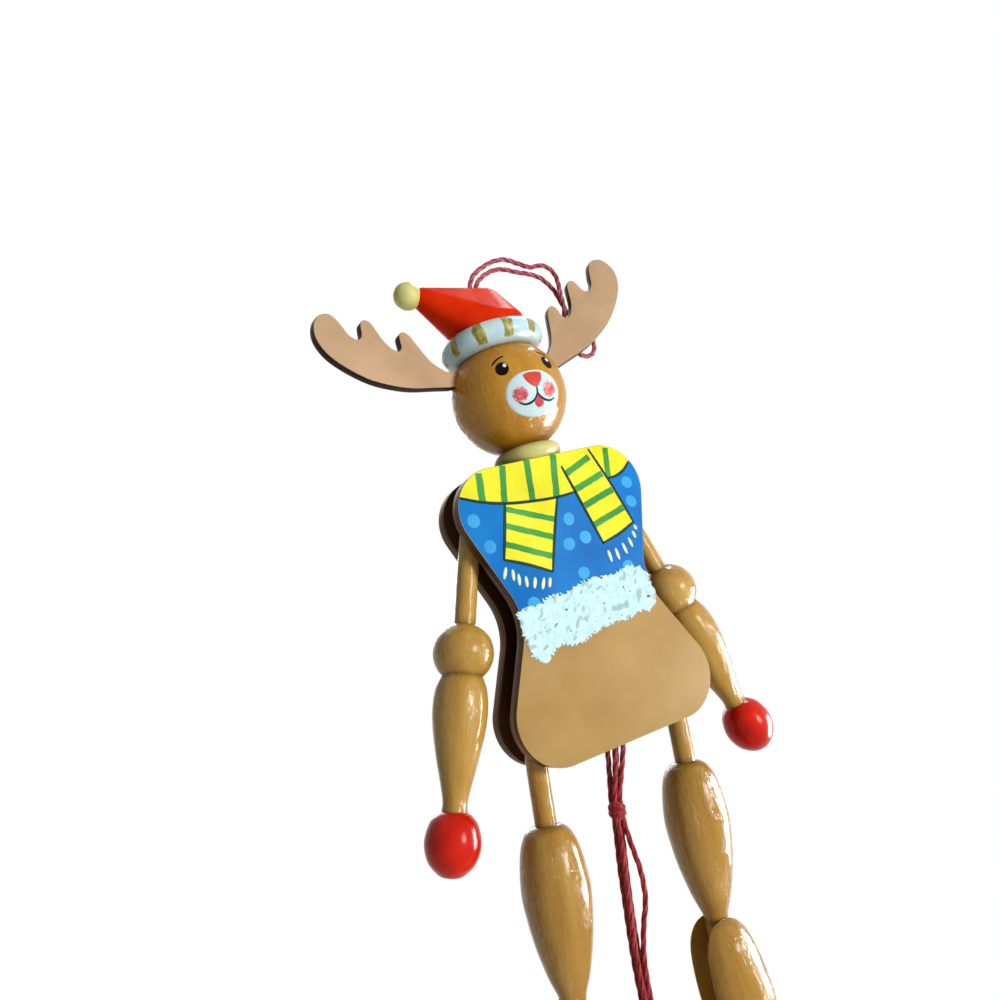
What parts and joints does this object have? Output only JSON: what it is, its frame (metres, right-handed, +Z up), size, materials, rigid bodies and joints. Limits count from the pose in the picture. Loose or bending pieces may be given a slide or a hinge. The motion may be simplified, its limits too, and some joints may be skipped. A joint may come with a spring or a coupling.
{
  "type": "pull string jumping jack",
  "caption": "Wooden pull-string reindeer figure with turned, pivoting arms and legs hung between two body boards, and a hanging loop.",
  "frame": {"origin": "the hole at the top of the hat, where the hanging loop comes out", "axes": "+Z up along the body, the figure faces -Y, +X is to the right of someone who looks at its face"},
  "size_m": [0.1168, 0.036, 0.2888],
  "materials": {
    "stained_wood": "glossy honey-brown varnish",
    "painted_front": "satin paint over plywood",
    "dark_board": "satin dark-brown stain",
    "antler_board": "matte tan paint",
    "white_paint": "gloss white paint with gold stripes",
    "red_paint": "gloss red paint",
    "gold_paint": "pale gold paint",
    "steel_pin": "plain steel wire",
    "red_cord": "twisted raspberry-red cord"
  },
  "bodies": {
    "figure": {"front_board": "painted_front", "back_board": "dark_board", "neck_block": "stained_wood", "waist_spacers": "stained_wood", "shoulder_pins": "steel_pin", "hip_pins": "steel_pin", "neck_dowel": "stained_wood", "neck_ring": "gold_paint", "head": "stained_wood", "left_antler": "antler_board", "right_antler": "antler_board", "hat_brim": "white_paint", "hat_cone": "red_paint", "pompom": "gold_paint", "hanging_loop": "red_cord", "arm_string": "red_cord", "leg_string": "red_cord"},
    "arm_l": {"left_arm": "stained_wood", "left_hand": "red_paint"},
    "arm_r": {"right_arm": "stained_wood", "right_hand": "red_paint"},
    "thigh_l": {"left_thigh": "stained_wood"},
    "thigh_r": {"right_thigh": "stained_wood"},
    "shin_l": {"left_shin": "stained_wood", "left_knee_pin": "steel_pin", "left_foot": "red_paint"},
    "shin_r": {"right_shin": "stained_wood", "right_knee_pin": "steel_pin", "right_foot": "red_paint"},
    "pull_cord": {"pull_strand_left": "red_cord", "pull_strand_middle": "red_cord", "pull_strand_front": "red_cord", "pull_strand_right": "red_cord", "pull_knot": "red_cord", "pull_bead": "stained_wood", "end_knot": "red_cord"}
  },
  "joints": [
    {"name": "left_hip", "type": "hinge", "parent": "figure", "child": "thigh_l", "pos_m": [-0.0245, 0, -0.12553], "axis": [0, 1, 0], "range_deg": [0, 60], "deforming": ["leg_string", "arm_string"]},
    {"name": "right_hip", "type": "hinge", "parent": "figure", "child": "thigh_r", "pos_m": [0.0245, 0, -0.12553], "axis": [0, -1, 0], "range_deg": [0, 60]},
    {"name": "left_shoulder", "type": "hinge", "parent": "figure", "child": "arm_l", "pos_m": [-0.0255, 0, -0.07402], "axis": [0, 1, 0], "range_deg": [0, 75]},
    {"name": "right_shoulder", "type": "hinge", "parent": "figure", "child": "arm_r", "pos_m": [0.0255, 0, -0.07402], "axis": [0, -1, 0], "range_deg": [0, 75]},
    {"name": "pull", "type": "slide", "parent": "figure", "child": "pull_cord", "axis": [0, 0, -1], "range_m": [0, 0.02]},
    {"name": "left_knee", "type": "hinge", "parent": "thigh_l", "child": "shin_l", "pos_m": [-0.03806, 0, -0.20741], "axis": [0, 1, 0], "range_deg": [-8, 45]},
    {"name": "right_knee", "type": "hinge", "parent": "thigh_r", "child": "shin_r", "pos_m": [0.01123, 0, -0.20746], "axis": [0, -1, 0], "range_deg": [-8, 45]}
  ],
  "couplings": [
    {"joint": "right_hip", "follows": "left_hip", "ratio": 1},
    {"joint": "left_shoulder", "follows": "left_hip", "ratio": 1.25},
    {"joint": "right_shoulder", "follows": "left_hip", "ratio": 1.25},
    {"joint": "pull", "follows": "left_hip", "m_per_rad": 0.01909}
  ]
}
